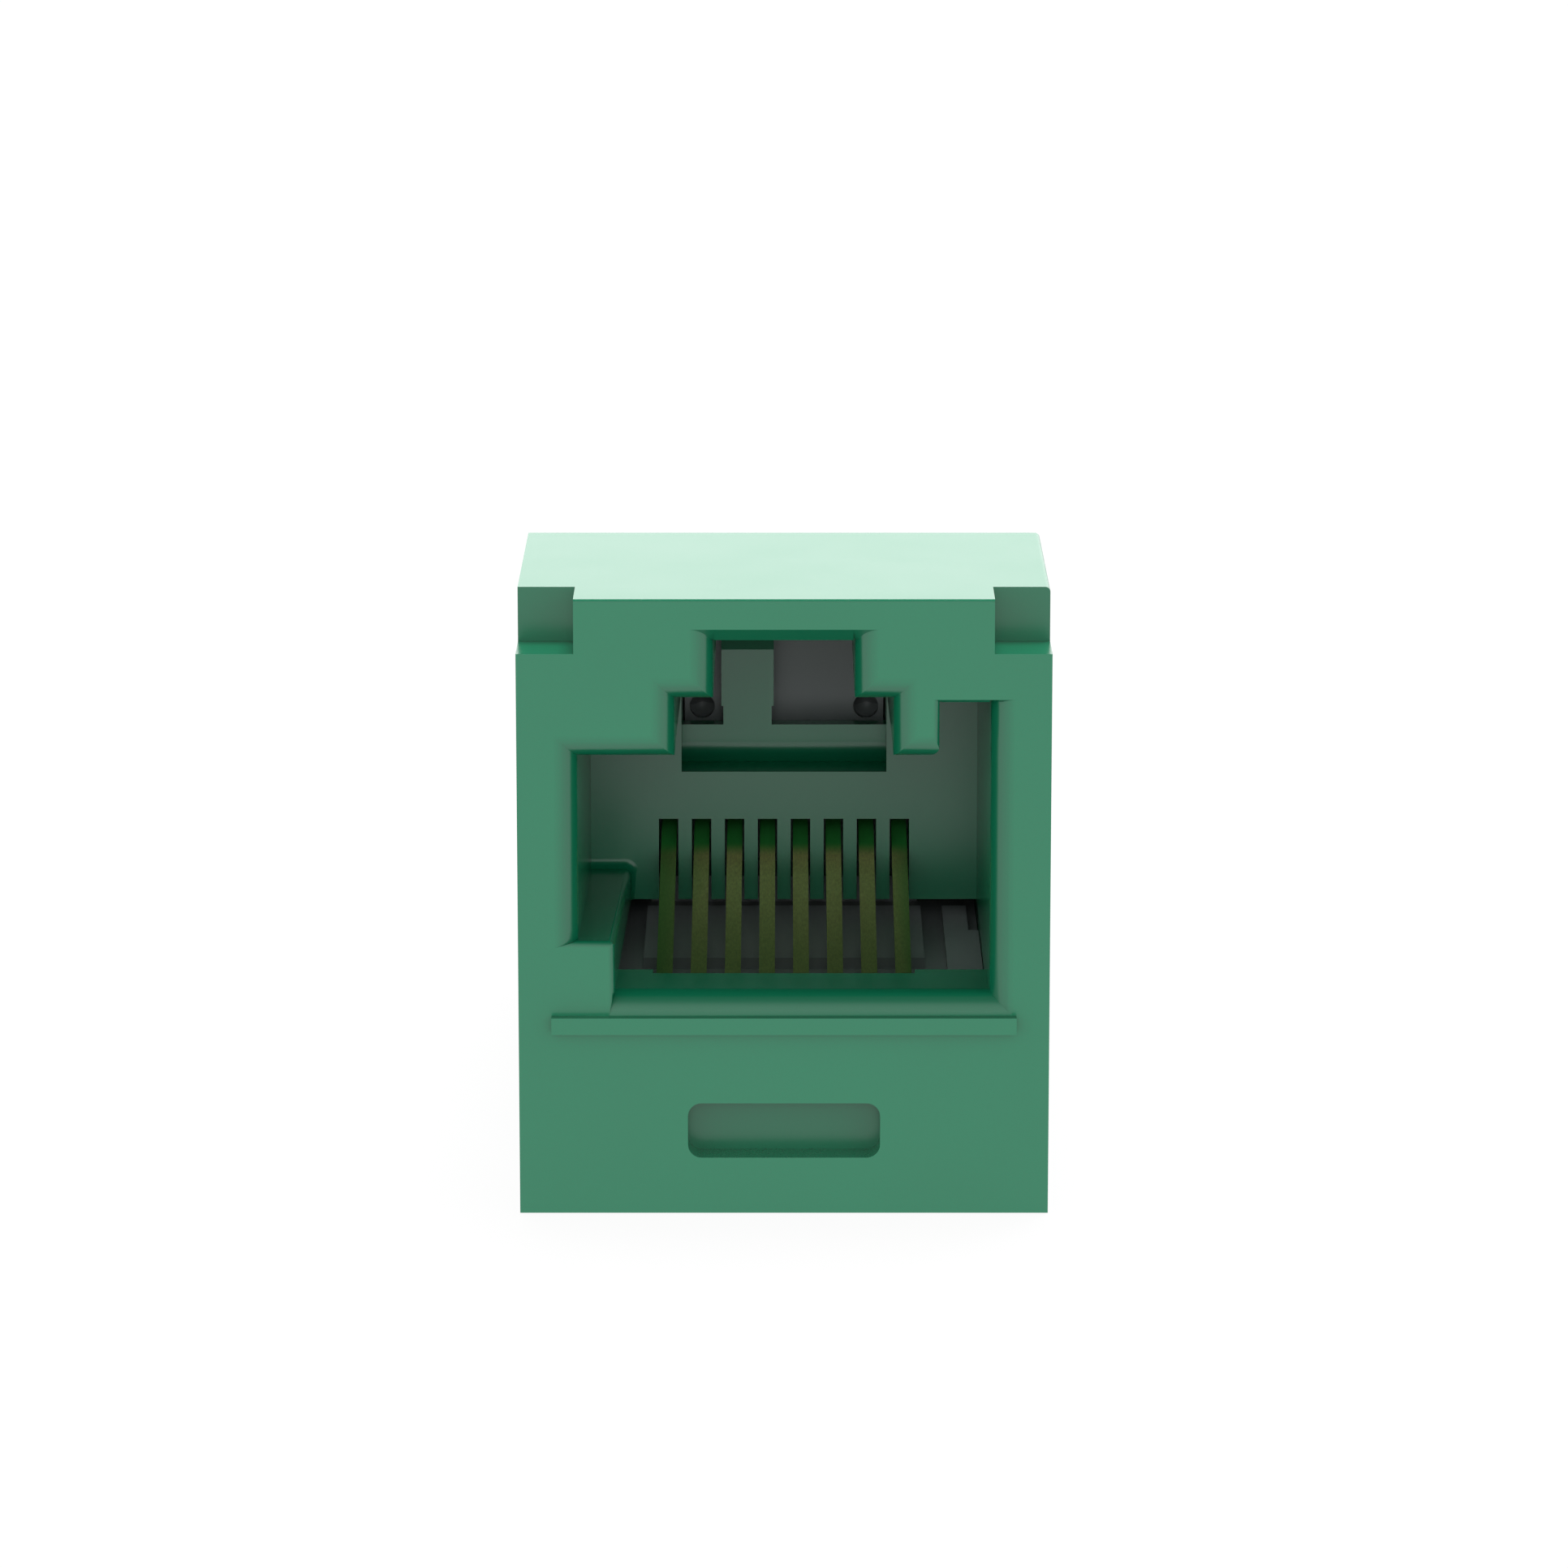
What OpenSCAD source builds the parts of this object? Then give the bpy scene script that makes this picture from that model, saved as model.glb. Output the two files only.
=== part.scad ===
// Snap-in modular jack with a keyed eight-position plug port.
// The face looks along -Y and the part stands on z = 0, with its middle over the origin.

/* [Face] */
// Width of the face and of the body behind it
body_w = 15.5; // [15:0.1:17]
// Height of the face above the base
face_h = 18.35; // [18.2:0.05:20]
// Depth of the tall head behind the face
head_depth = 10.6; // [9.6:0.1:11.4]
// Width of each corner notch where the panel seats
notch_w = 1.67; // [1.2:0.01:1.8]
// Height of each corner notch
notch_h = 1.6; // [1:0.05:2.2]
// Depth of each corner notch behind the face
notch_depth = 1.95; // [1.5:0.05:2.4]
// Height of the bar that stands proud under the port
lip_h = 0.5; // [0.3:0.05:0.8]
// How far that bar stands out of the face
lip_out = 0.33; // [0.2:0.01:0.5]
// Roll of the face's top edge
edge_r = 0.1; // [0.05:0.01:0.2]
// Roll of the head's long upper edge on the right
corner_r = 0.15; // [0.05:0.01:0.3]

/* [Port] */
// Width of the plug port at its mouth
port_w = 12; // [11.8:0.05:12.2]
// Narrowing of the port on each side, from the rim to the comb wall
port_draft = 0.06; // [0.01:0.01:0.08]
// Height of the port floor above the base
port_floor = 6.63; // [6.5:0.01:7]
// Height of the port at its mouth
port_h = 7.01; // [6.9:0.01:7.2]
// Fall of the port ceiling from the mouth to the comb wall
ceiling_fall = 0.73; // [0.1:0.01:1]
// Depth from the face to the comb wall
port_depth = 12; // [11.8:0.1:12.6]
// Roll of the rim around the port
rim_r = 0.7; // [0.4:0.05:0.75]
// Depth of the floor lip at the sides of the port
floor_lip = 2.95; // [2.8:0.05:3.2]
// Relief of that lip in front of the contact bends
lip_relief = 0.45; // [0.3:0.05:0.5]

/* [Latch recess] */
// Width of the wide step
step_w = 6.35; // [6.1:0.05:6.6]
// Height of the wide step over the port ceiling
step_h = 1.71; // [1.5:0.01:1.8]
// Width of the narrow step
throat_w = 4.1; // [3.9:0.05:4.4]
// Height of the narrow step over the wide one
throat_h = 1.735; // [1.5:0.005:1.75]
// Bevel over the narrow step
throat_bevel = 0.38; // [0.2:0.01:0.4]
// Height of the sill in the comb wall above the port floor
sill_h = 3.985; // [3.8:0.005:4.2]

/* [Keys] */
// Width of the key block in the lower left corner
key_block_w = 1.06; // [0.9:0.01:1.1]
// Height of the key block above the port floor
key_block_h = 1.41; // [1.2:0.01:1.5]
// Width of the key slot in the upper right corner
key_slot_w = 1.5; // [1.3:0.05:1.6]
// Small roll on the edges of the keys
key_r = 0.18; // [0.1:0.01:0.25]
// Cove where the key block runs into the comb wall
cove_r = 0.28; // [0.1:0.01:0.35]

/* [Release pocket] */
// Width of the pocket in the lower face
pocket_w = 5.63; // [5:0.01:6]
// Height of the pocket
pocket_h = 1.65; // [1.5:0.05:1.9]
// Height of the pocket's lower edge above the base
pocket_z = 1.68; // [1.5:0.01:1.9]
// Depth of the pocket
pocket_depth = 1; // [0.8:0.05:1.4]
// Corner radius of the pocket
pocket_r = 0.4; // [0.2:0.05:0.6]

/* [Comb and contacts] */
// Pitch of the contacts
contact_pitch = 1.016; // [1:0.002:1.03]
// Width of a contact
contact_w = 0.47; // [0.4:0.01:0.5]
// Thickness of a contact
contact_t = 0.3; // [0.2:0.01:0.32]
// Height of a contact's upper side over the port floor, at the comb wall
contact_rise = 1.63; // [1.5:0.01:1.75]
// Thickness of the comb wall
comb_t = 1.7; // [1.5:0.05:1.9]
// Lean of the comb wall's front, in degrees, with its foot nearer to the face
comb_lean = 2.5; // [0:0.1:3]
// Width of a comb slot
comb_slot_w = 0.6; // [0.56:0.01:0.66]
// Height of a comb slot above the port floor
comb_slot_h = 2.515; // [2.4:0.005:2.7]

/* [Carrier] */
// Drop from the port floor to the channel floor that the sled lies on
sled_drop = 2.33; // [2.2:0.01:2.4]
// Thickness of the sled's plate
sled_t = 1.3; // [1.2:0.05:1.4]
// Width of the pad under the contact arms
pad_w = 8.5; // [8:0.1:9]
// Height of the pad and of the rest beside it
pad_h = 0.2; // [0.1:0.05:0.3]
// Distance from the comb wall to the sled's upright
upright_gap = 5.5; // [5.3:0.1:6]
// Thickness of the upright
upright_t = 1.1; // [0.9:0.1:1.4]
// Diameter of the two blind holes in the upright's nose
nose_hole_d = 0.78; // [0.6:0.02:0.9]

/* [Rear body] */
// Thickness of the skirt's roof
roof_t = 0.75; // [0.6:0.05:0.78]
// Thickness of the skirt's side walls
side_t = 1; // [0.9:0.05:1.2]
// Thickness of the skirt's floor
base_t = 1.1; // [0.9:0.05:1.2]
// Thickness of the circuit board
board_t = 1.2; // [1:0.1:1.6]
// Thickness of the terminal block's base
block_t = 2.1; // [1.9:0.1:2.4]

/* [Latch tongue] */
// Width of the groove for the panel's edge
groove_w = 1.6; // [1.2:0.1:2]
// Depth of that groove
groove_h = 1.1; // [0.8:0.05:1.2]
// Width of the sprung tongue in the underside
tongue_w = 5.2; // [4:0.1:6]
// Thickness of the tongue
tongue_t = 1.2; // [1:0.05:1.4]
// Length of the tongue
tongue_len = 8; // [6:0.1:10]
// Gap round the tongue
tongue_gap = 0.5; // [0.4:0.05:0.6]

/* [Wire terminals] */
// Pitch of the terminals in a row
fork_pitch = 3.2; // [3:0.05:3.3]
// Distance of each row of terminals from the middle
row_offset = 4.55; // [4.5:0.05:4.6]
// Length of the rows behind the base
row_len = 5; // [4.6:0.1:5.6]
// Height of a row
row_h = 2.6; // [2.4:0.1:2.6]
// Width of a wire slot
wire_slot_w = 1.3; // [1.1:0.05:1.4]
// Width of a fork's blade
blade_w = 2.1; // [1.9:0.05:2.2]
// Thickness of a fork
blade_t = 0.4; // [0.3:0.05:0.45]
// Width of a fork's slot
fork_slot_w = 0.32; // [0.25:0.01:0.4]

/* [Wire cap] */
// Width of the cap
cap_w = 14.6; // [14.4:0.05:14.8]
// Height of the cap
cap_h = 12.9; // [12.8:0.05:13]
// Thickness of the cap's back wall
cap_back_t = 2.4; // [2.2:0.1:3]
// Bevel round the cap's back
cap_bevel = 1; // [0.6:0.1:1.2]
// Diameter of the cable entry
cable_d = 5.4; // [4.8:0.1:5.4]
// Lead-in bevel at the mouth of the cable entry
entry_bevel = 0.4; // [0.2:0.05:0.6]
// Radius of a grip rib
rib_r = 0.25; // [0.15:0.05:0.3]

/* [Hidden] */
$fn = 48;
// Small overlap of a cut past the surface it opens
eps = 0.05;
// Clearance between pieces that fit together
fit = 0.1;
contacts = 8;
row_forks = 4;

// Heights
ceiling_z = port_floor + port_h;
ceiling_back_z = ceiling_z - ceiling_fall;
step_z = ceiling_z + step_h;
throat_z = step_z + throat_h;
sill_z = port_floor + sill_h;
skirt_top = step_z + roof_t;
sled_floor = port_floor - sled_drop;
sled_z = sled_floor + fit;
sled_top = sled_z + sled_t;
mid_z = (base_t + step_z) / 2;

// Stations along the depth, counted back from the face
shelf_gap = 1.1;
boss_h = 0.6;
comb_back = port_depth + comb_t;
upright_y = port_depth + upright_gap;
function wall_y(z) = port_depth + (z - sill_z) * tan(comb_lean);
upright_back = upright_y + upright_t;
shelf_back = upright_y - shelf_gap;
board_y = upright_back + boss_h;
board_back = board_y + board_t;
block_y = board_back + fit;
skirt_back = block_y + block_t;
row_back = skirt_back + row_len;
cap_back = row_back + fit + cap_back_t;
overall_mid = (cap_back - lip_out) / 2;

// Room inside the skirt, and the pieces that fill it
cavity_w = body_w - 2 * side_t;
inner_w = cavity_w - 2 * fit;
inner_bottom = base_t + fit;
inner_top = step_z - fit;
row_inset = 0.25;
row_w = inner_w - 2 * row_inset;

// A contact's lower strand lies under the sled, bends round the sled's nose and comes back as the arm,
// whose upper side meets the comb wall at the contact's rise
strand_lift = 0.32;
bend_clear = 0.12;
arm_clear = 0.142;
strand_z = sled_z + strand_lift;
bend_r = (sled_top + arm_clear + contact_t / 2 - strand_z) / 2;
bend_y = floor_lip - lip_relief + bend_clear + contact_t / 2 + bend_r;
bend_z = strand_z + bend_r;
arm_reach = [port_depth - bend_y, port_floor + contact_rise - bend_z];
contact_slope = atan2(arm_reach[1], arm_reach[0]) - asin((bend_r + contact_t / 2) / norm(arm_reach));
arm_past = 0.25;
arm_end = comb_back + arm_past;
function arm_z(y) = port_floor + contact_rise - contact_t / 2 / cos(contact_slope)
    + tan(contact_slope) * (y - port_depth);

// Tails of every second contact step up, so that they reach the board in two rows
tail_step = 1.3;
tail_jog = 1.9;
tail_out = 0.45;
tail_jog_y = upright_y - tail_jog;
tail_end = board_back + tail_out;
channel_clear = 0.08;
channel_w = contact_w + 2 * channel_clear;
zone_clear = 0.015;
zone_w = (contacts - 1) * contact_pitch + comb_slot_w + 2 * zone_clear;

function contact_x(i) = (i - (contacts + 1) / 2) * contact_pitch;
function tail_z(i) = strand_z + (i % 2 == 0 ? tail_step : 0);
function fork_x(i) = ((i - 1) % row_forks - (row_forks - 1) / 2) * fork_pitch;
function fork_z(i) = mid_z + (i <= row_forks ? row_offset : -row_offset);

// Moves a piece from stations behind the face to the part's own frame
module in_frame() {
    translate([0, -overall_mid, 0]) children();
}

// A box between two opposite corners
module box(low, high) {
    translate(low) cube(high - low);
}

// Extrudes an outline in x and z from depth y0 to y1
module along_y(y0, y1) {
    translate([0, y1, 0]) rotate([90, 0, 0]) linear_extrude(y1 - y0) children();
}

// Extrudes an outline in y and z from x0 to x1
module along_x(x0, x1) {
    translate([x0, 0, 0]) rotate([90, 0, 90]) linear_extrude(x1 - x0) children();
}

// Extrudes an outline in x and y from z0 to z1
module along_z(z0, z1) {
    translate([0, 0, z0]) linear_extrude(z1 - z0) children();
}

module mirrored_x() {
    children();
    mirror([1, 0, 0]) children();
}

// A cylinder that runs back from a point
module pin(x, y, z, d, h) {
    translate([x, y, z]) rotate([-90, 0, 0]) cylinder(d = d, h = h);
}

// An outline on both sides of the middle, from the points of its right half
function both_sides(half) = concat(half, [for (k = [len(half) - 1:-1:0]) [-half[k][0], half[k][1]]]);

// The corner piece outside a quarter round, in the square from the origin to (r, r)
module round_waste(r) {
    difference() {
        translate([-eps, -eps]) square(r + eps);
        translate([r, r]) circle(r);
    }
}

module rounded_rect(w, h, r) {
    translate([-w / 2 + r, 0]) square([w - 2 * r, h]);
    translate([-w / 2, r]) square([w, h - 2 * r]);
    for (x = [-w / 2 + r, w / 2 - r], z = [r, h - r]) {
        translate([x, z]) circle(r);
    }
}

// Rim of the port, clockwise from the key block's foot. Each entry is a corner, the size of the
// edge that starts there, and whether the neighbouring rolls run straight past that edge.
key_x = -port_w / 2 + key_block_w;
key_top = port_floor + key_block_h;
slot_x = port_w / 2 - key_slot_w;
rim = [
    [key_x, port_floor, key_r, false],
    [key_x, key_top, key_r, false],
    [-port_w / 2, key_top, rim_r, false],
    [-port_w / 2, ceiling_z, rim_r, false],
    [-step_w / 2, ceiling_z, rim_r, false],
    [-step_w / 2, step_z, rim_r, false],
    [-throat_w / 2, step_z, rim_r, false],
    [-throat_w / 2, throat_z, throat_bevel, true],
    [throat_w / 2, throat_z, rim_r, false],
    [throat_w / 2, step_z, rim_r, false],
    [step_w / 2, step_z, rim_r, false],
    [step_w / 2, ceiling_z, rim_r, false],
    [slot_x, ceiling_z, key_r, false],
    [slot_x, step_z, key_r, true],
    [port_w / 2, step_z, rim_r, false],
    [port_w / 2, port_floor, rim_r, false]];
bevel_edge = 7;

function corner(i) = rim[(i + len(rim)) % len(rim)];
function place(i) = [corner(i)[0], corner(i)[1]];
function run(i) = place(i + 1) - place(i);
function opens(i) = cross(run(i - 1), run(i)) < 0;
// How far an edge's roll runs on past a corner, at the face and at the depth of the roll's foot
function run_on(edge, next) = corner(edge)[3] ? 0 : corner(next)[2];
function run_on_in(next, out, r) = corner(next)[3] ? out : -out * eps / r;

// Waste along one edge of the rim, mitred with its neighbours where the port opens out
module rim_waste(i) {
    r = corner(i)[2];
    length = norm(run(i));
    turn = atan2(run(i)[1], run(i)[0]);
    before = opens(i) ? run_on(i, i - 1) : 0;
    after = opens(i + 1) ? run_on(i, i + 1) : 0;
    plan = [
        [-run_on_in(i - 1, before, r), -eps],
        [length + run_on_in(i + 1, after, r), -eps],
        [length + after, r],
        [-before, r]];
    translate([place(i)[0], 0, place(i)[1]]) rotate([0, -turn, 0]) intersection() {
        along_y(-eps, r) polygon(plan);
        along_x(-2 * rim_r, length + 2 * rim_r) {
            if (i == bevel_edge) {
                polygon([[-eps, -eps], [r + eps, -eps], [-eps, r + eps]]);
            } else {
                round_waste(r);
            }
        }
    }
}

// The key block with its free upper edge rolled, and its cove along the comb wall
module key_block() {
    along_y(-2 * eps, port_depth + eps) difference() {
        translate([-port_w / 2 - eps, port_floor - eps]) square([key_block_w + eps, key_block_h + eps]);
        translate([key_x, key_top]) rotate(180) round_waste(key_r);
    }
    translate([0, wall_y(key_top), key_top]) mirror([0, 1, 0]) along_x(-port_w / 2 - eps, key_x - key_r)
        round_waste(cove_r);
    translate([key_x, wall_y(key_top), 0]) mirror([0, 1, 0]) along_z(port_floor - eps, key_top - key_r)
        round_waste(cove_r);
    translate([key_x - key_r, wall_y(key_top), key_top - key_r]) rotate([90, 0, 0])
        rotate_extrude(angle = 90) translate([key_r, 0]) round_waste(cove_r);
}

// Main chamber of the port with its key slot: a ceiling that falls behind the floor lip and the leaning
// comb wall seen from the side, and drafted walls seen from above
slot_back = wall_y(step_z);
module port_chamber() {
    intersection() {
        union() {
            along_x(-port_w, port_w) polygon([
                [-eps, port_floor],
                [floor_lip + eps, port_floor],
                [floor_lip + eps, port_floor - eps],
                [wall_y(port_floor - eps), port_floor - eps],
                [wall_y(ceiling_back_z), ceiling_back_z],
                [floor_lip, ceiling_z],
                [-eps, ceiling_z]]);
            box([slot_x, -eps, ceiling_back_z], [port_w, slot_back, step_z]);
        }
        along_z(0, face_h) polygon(both_sides([
            [port_w / 2, -eps],
            [port_w / 2, rim_r],
            [port_w / 2 - port_draft, slot_back]]));
    }
}

head_wall = 0.9;
module port_cavity() {
    difference() {
        port_chamber();
        key_block();
    }
    box([-step_w / 2, -eps, sill_z], [step_w / 2, port_depth, step_z]);
    box([-throat_w / 2, -eps, sill_z], [throat_w / 2, head_depth - head_wall, throat_z]);
    translate([slot_x, 0, ceiling_z]) mirror([1, 0, 0]) along_y(-eps, floor_lip) round_waste(2 * key_r);
}

// Comb slots, open at the foot of the comb wall
module comb_slots() {
    for (i = [1:contacts]) {
        translate([contact_x(i), 0, 0]) box(
            [-comb_slot_w / 2, wall_y(port_floor) - 2 * eps, port_floor - 2 * eps],
            [comb_slot_w / 2, comb_back + eps, port_floor + comb_slot_h]);
    }
}

// Channel for the sled, its relief at the contact bends, and the room behind the comb
comb_room_gap = 0.5;
comb_room_roof = 1;
module sled_channel() {
    comb_room_w = zone_w + 2 * comb_room_gap;
    box([-port_w / 2, floor_lip, sled_floor], [port_w / 2, shelf_back + eps, port_floor]);
    box([-zone_w / 2, floor_lip - lip_relief, sled_floor],
        [zone_w / 2, floor_lip + eps, port_floor + eps]);
    box([-comb_room_w / 2, comb_back, sled_floor],
        [comb_room_w / 2, shelf_back + eps, sill_z - comb_room_roof]);
}

// Opening behind the latch recess, over the sill
latch_hole_w = step_w - fit / 2;
module latch_hole() {
    box([-latch_hole_w / 2, port_depth - eps, sill_z], [latch_hole_w / 2, shelf_back + eps, step_z]);
}

// Cross wall on the sill with its foot rounded in, and the keeper bar in front of the upright's nose,
// which leans back into the roof above its front
sill_deep = 2;
cross_t = 0.6;
cross_h = 1.06;
cross_foot_r = 0.52;
cross_y = port_depth + sill_deep;
cross_back = cross_y + cross_t;
keeper_x = -1.94;
keeper_w = 1.62;
keeper_t = 1.6;
keeper_h = 3.43;
keeper_foot_h = 1.65;
keeper_foot_in = 0.06;
keeper_run = 0.5;
keeper_back = cross_y + keeper_t;
module keeper() {
    box([-latch_hole_w / 2, cross_y, sill_z - eps], [latch_hole_w / 2, cross_back, sill_z + cross_h]);
    translate([0, cross_y, sill_z]) mirror([0, 1, 0]) along_x(-latch_hole_w / 2, latch_hole_w / 2)
        round_waste(cross_foot_r);
    box([keeper_x + keeper_foot_in, cross_y, sill_z - eps],
        [keeper_x + keeper_w - keeper_foot_in, keeper_back, sill_z + keeper_foot_h]);
    along_x(keeper_x, keeper_x + keeper_w) polygon([
        [cross_y, sill_z + keeper_foot_h],
        [keeper_back, sill_z + keeper_foot_h],
        [keeper_back, step_z + eps],
        [cross_y + keeper_run, step_z + eps],
        [cross_y, sill_z + keeper_h]]);
}

module release_pocket() {
    along_y(-eps, pocket_depth) translate([0, pocket_z]) rounded_rect(pocket_w, pocket_h, pocket_r);
}

// Groove for the panel's edge across the underside, and the gap round the latch tongue behind it
module panel_groove() {
    groove_back = notch_depth + groove_w;
    tongue_back = groove_back + tongue_len;
    gap_x = tongue_w / 2 + tongue_gap;
    box([-body_w, notch_depth, -eps], [body_w, groove_back, groove_h]);
    box([-gap_x, groove_back - eps, tongue_t], [gap_x, tongue_back, tongue_t + 2 * tongue_gap]);
    mirrored_x() box([tongue_w / 2, groove_back - eps, -eps], [gap_x, tongue_back, tongue_t + eps]);
}

// Windows in the skirt where the terminal block's side catches click in
catch_h = 3;
catch_front = 0.4;
catch_len = 1.3;
catch_y = block_y + catch_front;
module block_windows() {
    box([-body_w, catch_y - fit, mid_z - catch_h / 2 - fit],
        [body_w, catch_y + catch_len + fit, mid_z + catch_h / 2 + fit]);
}

// Notches in the two upper corners of the face, and the rolls of the head's edges
module head_corners() {
    mirrored_x() box([body_w / 2 - notch_w, -eps, face_h - notch_h],
        [body_w / 2 + eps, notch_depth, face_h + eps]);
    translate([0, 0, face_h]) along_x(-body_w / 2, body_w / 2) mirror([0, 1]) round_waste(edge_r);
    translate([body_w / 2, 0, face_h]) along_y(-eps, head_depth + eps) rotate(180) round_waste(corner_r);
}

// The bar under the port stands proud of the face, across the rolled rim
lip_past = 0.085;
module lip_bar() {
    lip_x = port_w / 2 + rim_r + lip_past;
    lip_top = port_floor - rim_r + eps;
    box([-lip_x, -lip_out, lip_top - lip_h], [lip_x, eps, lip_top]);
}

module front_housing() {
    color("seagreen") in_frame() union() {
        difference() {
            union() {
                box([-body_w / 2, 0, 0], [body_w / 2, head_depth, face_h]);
                box([-body_w / 2, 0, 0], [body_w / 2, skirt_back, skirt_top]);
            }
            head_corners();
            port_cavity();
            for (i = [0:len(rim) - 1]) {
                rim_waste(i);
            }
            comb_slots();
            sled_channel();
            latch_hole();
            release_pocket();
            panel_groove();
            block_windows();
            box([-cavity_w / 2, shelf_back, base_t], [cavity_w / 2, skirt_back + eps, step_z]);
        }
        keeper();
        lip_bar();
    }
}

// Sled with a channel under each contact, a pad under the arms and an upright at its back
boss_d = 1.4;
boss_inset = 1.2;
module contact_carrier() {
    boss_x = inner_w / 2 - boss_inset;
    boss_z = (inner_top - inner_bottom) / 2 - boss_inset;
    color("dimgray") in_frame() difference() {
        union() {
            sled_plate();
            tail_block();
            upright_nose();
            box([-inner_w / 2, upright_y, inner_bottom], [inner_w / 2, upright_back, inner_top]);
            for (x = [-boss_x, boss_x], z = [-boss_z, boss_z]) {
                pin(x, upright_back - eps, mid_z + z, boss_d, boss_h + eps);
            }
        }
        for (i = [1:contacts]) {
            translate([contact_x(i), 0, 0]) contact_channel(i);
        }
    }
}

// Nose of the upright: it reaches over the sill to the keeper, with two blind holes that end in a point
nose_hole_x = 2.555;
nose_hole_rise = 1.305;
nose_hole_deep = 0.3;
module upright_nose() {
    nose_x = (latch_hole_w - fit) / 2;
    nose_y = keeper_back + fit / 2;
    hole_r = nose_hole_d / 2;
    difference() {
        box([-nose_x, nose_y, sill_z + fit / 2], [nose_x, upright_y + eps, inner_top]);
        for (x = [-nose_hole_x, nose_hole_x]) {
            translate([x, nose_y, sill_z + nose_hole_rise]) rotate([-90, 0, 0]) rotate_extrude() polygon([
                [0, -eps],
                [hole_r, -eps],
                [hole_r, nose_hole_deep],
                [0, nose_hole_deep + hole_r]]);
        }
    }
}

pad_front = 3.87;
pad_ramp = 0.6;
pad_past = 0.3;
pad_back = comb_back + pad_past;
plate_w = port_w - fit / 2;
module sled_plate() {
    front_r = (sled_top - strand_z - contact_t / 2 - eps) / 2;
    pad_y = bend_y + pad_front;
    box([-plate_w / 2, bend_y, sled_z], [plate_w / 2, upright_y + eps, sled_top]);
    translate([-zone_w / 2, bend_y, sled_top - front_r]) rotate([0, 90, 0])
        cylinder(r = front_r, h = zone_w);
    mirrored_x() box([zone_w / 2, floor_lip + fit, sled_z], [plate_w / 2, bend_y + eps, sled_top]);
    along_x(-pad_w / 2, pad_w / 2) polygon([
        [pad_y - pad_ramp, sled_top - eps],
        [pad_y - pad_ramp, sled_top],
        [pad_y, sled_top + pad_h],
        [pad_back, sled_top + pad_h],
        [pad_back, sled_top - eps]]);
    along_z(sled_top - eps, sled_top + pad_h) sled_rest();
}

// Raised rest beside the contacts, stepped in at its back with a rolled shoulder
rest_w = 1.06;
rest_front = 2.9;
rest_step = 1.2;
rest_step_in = 0.31;
rest_r = 0.12;
module sled_rest() {
    right = plate_w / 2;
    shoulder = port_depth - rest_step;
    difference() {
        polygon([
            [right - rest_w, floor_lip + rest_front],
            [right, floor_lip + rest_front],
            [right, shoulder],
            [right - rest_step_in, shoulder],
            [right - rest_step_in, pad_back],
            [right - rest_w, pad_back]]);
        translate([right, shoulder]) rotate(180) round_waste(rest_r);
    }
}

// Block over the stepped tails, in front of the upright
tail_wall = 0.3;
tail_front = 0.2;
module tail_block() {
    block_w = zone_w + 2 * tail_wall;
    block_top = strand_z + tail_step + contact_t + pad_h;
    box([-block_w / 2, tail_jog_y - tail_front, sled_z], [block_w / 2, upright_y + eps, block_top]);
}

// Room for one contact under the sled, taller at the back where its tail steps up
module contact_channel(i) {
    room = contact_t / 2 + eps;
    low = sled_z - eps;
    back = upright_back + eps;
    box([-channel_w / 2, 0, low], [channel_w / 2, back, strand_z + room]);
    if (tail_z(i) > strand_z) {
        box([-channel_w / 2, tail_jog_y - fit, low], [channel_w / 2, back, tail_z(i) + room]);
    }
}

// Centre line of a contact from its free end, round the bend, to the tip of its tail
bend_steps = 10;
function contact_line(i) = concat(
    [[arm_end, arm_z(arm_end)]],
    [for (k = [0:bend_steps]) let (a = 90 + contact_slope + (180 - contact_slope) * k / bend_steps)
        [bend_y + bend_r * cos(a), bend_z + bend_r * sin(a)]],
    tail_z(i) > strand_z ? [[tail_jog_y, strand_z], [tail_jog_y + tail_step, tail_z(i)]] : [],
    [[tail_end, tail_z(i)]]);

// Points beside a line at a distance, mitred where it turns
function unit(v) = v / norm(v);
function left(v) = [-v[1], v[0]];
function side_point(p, k, d) = let (
    last = len(p) - 1,
    a = left(unit(p[k] - p[max(k - 1, 0)] + (k == 0 ? p[1] - p[0] : [0, 0]))),
    b = left(unit(p[min(k + 1, last)] - p[k] + (k == last ? p[last] - p[last - 1] : [0, 0]))))
    p[k] + d * (a + b) / (1 + a * b);
function strip(p, t) = concat(
    [for (k = [0:len(p) - 1]) side_point(p, k, t / 2)],
    [for (k = [len(p) - 1:-1:0]) side_point(p, k, -t / 2)]);

module plug_contact(i) {
    color("goldenrod") in_frame() translate([contact_x(i), 0, 0])
        along_x(-contact_w / 2, contact_w / 2) polygon(strip(contact_line(i), contact_t));
}

// Board against the carrier's bosses, drilled for the contact tails and the fork pins
pin_hole_d = 0.72;
module circuit_board() {
    drill = board_t + 2 * eps;
    color("darkgreen") in_frame() difference() {
        box([-inner_w / 2, board_y, inner_bottom], [inner_w / 2, board_back, inner_top]);
        for (i = [1:contacts]) {
            pin(contact_x(i), board_y - eps, tail_z(i), pin_hole_d, drill);
        }
        for (i = [1:2 * row_forks]) {
            pin(fork_x(i), board_y - eps, fork_z(i), pin_hole_d, drill);
        }
    }
}

// A ramped catch that starts flush at y0 and stands out by h at y1
module catch(y0, y1, h, z0, z1) {
    along_z(z0, z1) polygon([[-eps, y0], [0, y0], [h, y1], [-eps, y1]]);
}

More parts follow.
